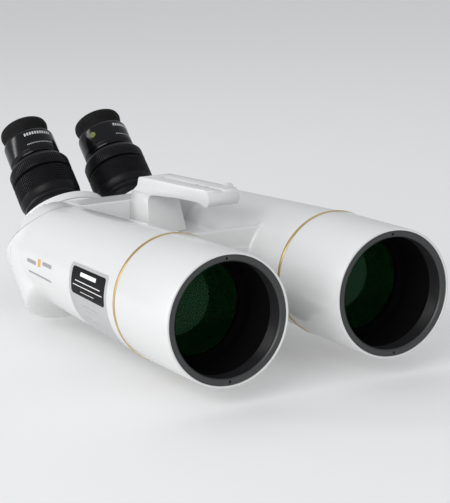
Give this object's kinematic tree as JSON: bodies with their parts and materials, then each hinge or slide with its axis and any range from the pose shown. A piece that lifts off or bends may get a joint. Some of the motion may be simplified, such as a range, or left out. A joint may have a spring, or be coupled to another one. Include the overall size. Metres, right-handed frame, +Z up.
{
  "type": "astronomy binoculars",
  "caption": "White astronomy binoculars with tapered tubes, gold trim rings, a carrying handle and eyepieces tilted up at 45 degrees",
  "frame": {"origin": "centre of the underside of the mounting foot", "axes": "+X towards the right barrel as the user sees it, +Y back from the objectives towards the eyepieces, +Z up"},
  "size_m": [0.2324, 0.4348, 0.1556],
  "materials": {
    "white_paint": "gloss white enamel on cast aluminium",
    "black_metal": "black anodised, satin",
    "black_matt": "matt black",
    "gold_metal": "gold anodised trim",
    "chrome_metal": "bright chrome",
    "steel": "plain steel",
    "rubber": "soft matt black rubber",
    "coated_glass": "green anti-reflection coating",
    "bare_aluminium": "plain machined"
  },
  "bodies": {
    "optical_body": {"left_barrel_casting": "white_paint", "left_rear_cap": "white_paint", "left_front_sleeve": "white_paint", "left_front_ring": "black_metal", "left_gold_trim_ring": "gold_metal", "left_objective_cell": "black_matt", "left_front_objective_lens": "coated_glass", "left_rear_objective_lens": "coated_glass", "left_lens_retaining_ring": "black_metal", "left_tube_baffle": "black_matt", "left_roof_prism": "coated_glass", "left_prism_cage": "bare_aluminium", "left_transfer_prism": "coated_glass", "right_barrel_casting": "white_paint", "right_rear_cap": "white_paint", "right_front_sleeve": "white_paint", "right_front_ring": "black_metal", "right_gold_trim_ring": "gold_metal", "right_objective_cell": "black_matt", "right_front_objective_lens": "coated_glass", "right_rear_objective_lens": "coated_glass", "right_lens_retaining_ring": "black_metal", "right_tube_baffle": "black_matt", "right_roof_prism": "coated_glass", "right_prism_cage": "bare_aluminium", "right_transfer_prism": "coated_glass", "bridge_casting": "white_paint", "carrying_handle": "white_paint", "mounting_foot": "black_metal", "handle_screw_1": "steel", "handle_screw_2": "steel", "foot_screw_1": "steel", "foot_screw_2": "steel", "foot_screw_3": "steel", "foot_screw_4": "steel"},
    "finder_screw": {"finder_thumb_screw": "white_paint"},
    "left_turret": {"left_turret_plate": "white_paint", "left_turret_prism": "coated_glass", "left_focuser_base": "black_metal"},
    "left_focuser": {"left_focus_ring": "black_metal"},
    "left_holder": {"left_eyepiece_holder": "black_metal"},
    "left_clamp": {"left_clamp_ring": "black_metal"},
    "left_eyepiece": {"left_eyepiece_body": "black_metal", "left_eyepiece_nose": "chrome_metal", "left_eye_lens": "coated_glass", "left_field_lens": "coated_glass", "left_eyecup": "rubber"},
    "right_turret": {"right_turret_plate": "white_paint", "right_turret_prism": "coated_glass", "right_focuser_base": "black_metal"},
    "right_focuser": {"right_focus_ring": "black_metal"},
    "right_holder": {"right_eyepiece_holder": "black_metal"},
    "right_clamp": {"right_clamp_ring": "black_metal"},
    "right_eyepiece": {"right_eyepiece_body": "black_metal", "right_eyepiece_nose": "chrome_metal", "right_eye_lens": "coated_glass", "right_field_lens": "coated_glass", "right_eyecup": "rubber"}
  },
  "joints": [
    {"name": "left_turret_turn", "type": "hinge", "parent": "optical_body", "child": "left_turret", "pos_m": [-0.04, 0.16171, 0.07171], "axis": [0, 0.7071, 0.7071], "range_deg": [-33, 9]},
    {"name": "left_focus_turn", "type": "hinge", "parent": "left_turret", "child": "left_focuser", "pos_m": [-0.0355, 0.17231, 0.0611], "axis": [0, 0.7071, 0.7071], "range_deg": [0, 270]},
    {"name": "left_focus_travel", "type": "slide", "parent": "left_turret", "child": "left_holder", "axis": [0, 0.7071, 0.7071], "range_m": [0, 0.008]},
    {"name": "left_clamp_turn", "type": "hinge", "parent": "left_holder", "child": "left_clamp", "pos_m": [-0.0355, 0.17231, 0.0611], "axis": [0, 0.7071, 0.7071], "range_deg": [0, 90]},
    {"name": "left_eyepiece_lift", "type": "slide", "parent": "left_holder", "child": "left_eyepiece", "axis": [0, 0.7071, 0.7071], "range_m": [0, 0.034]},
    {"name": "right_turret_turn", "type": "hinge", "parent": "optical_body", "child": "right_turret", "pos_m": [0.04, 0.16171, 0.07171], "axis": [0, 0.7071, 0.7071], "range_deg": [-9, 33]},
    {"name": "right_focus_turn", "type": "hinge", "parent": "right_turret", "child": "right_focuser", "pos_m": [0.0355, 0.17231, 0.0611], "axis": [0, 0.7071, 0.7071], "range_deg": [0, 270]},
    {"name": "right_focus_travel", "type": "slide", "parent": "right_turret", "child": "right_holder", "axis": [0, 0.7071, 0.7071], "range_m": [0, 0.008]},
    {"name": "right_clamp_turn", "type": "hinge", "parent": "right_holder", "child": "right_clamp", "pos_m": [0.0355, 0.17231, 0.0611], "axis": [0, 0.7071, 0.7071], "range_deg": [0, 90]},
    {"name": "right_eyepiece_lift", "type": "slide", "parent": "right_holder", "child": "right_eyepiece", "axis": [0, 0.7071, 0.7071], "range_m": [0, 0.034]},
    {"name": "finder_screw_turn", "type": "hinge", "parent": "optical_body", "child": "finder_screw", "pos_m": [0.0133, -0.019, 0.123], "axis": [1, 0, 0], "range_deg": [-180, 180]}
  ],
  "couplings": [
    {"joint": "left_focus_travel", "follows": "left_focus_turn", "m_per_rad": 0.0016977},
    {"joint": "right_focus_travel", "follows": "right_focus_turn", "m_per_rad": 0.0016977}
  ]
}
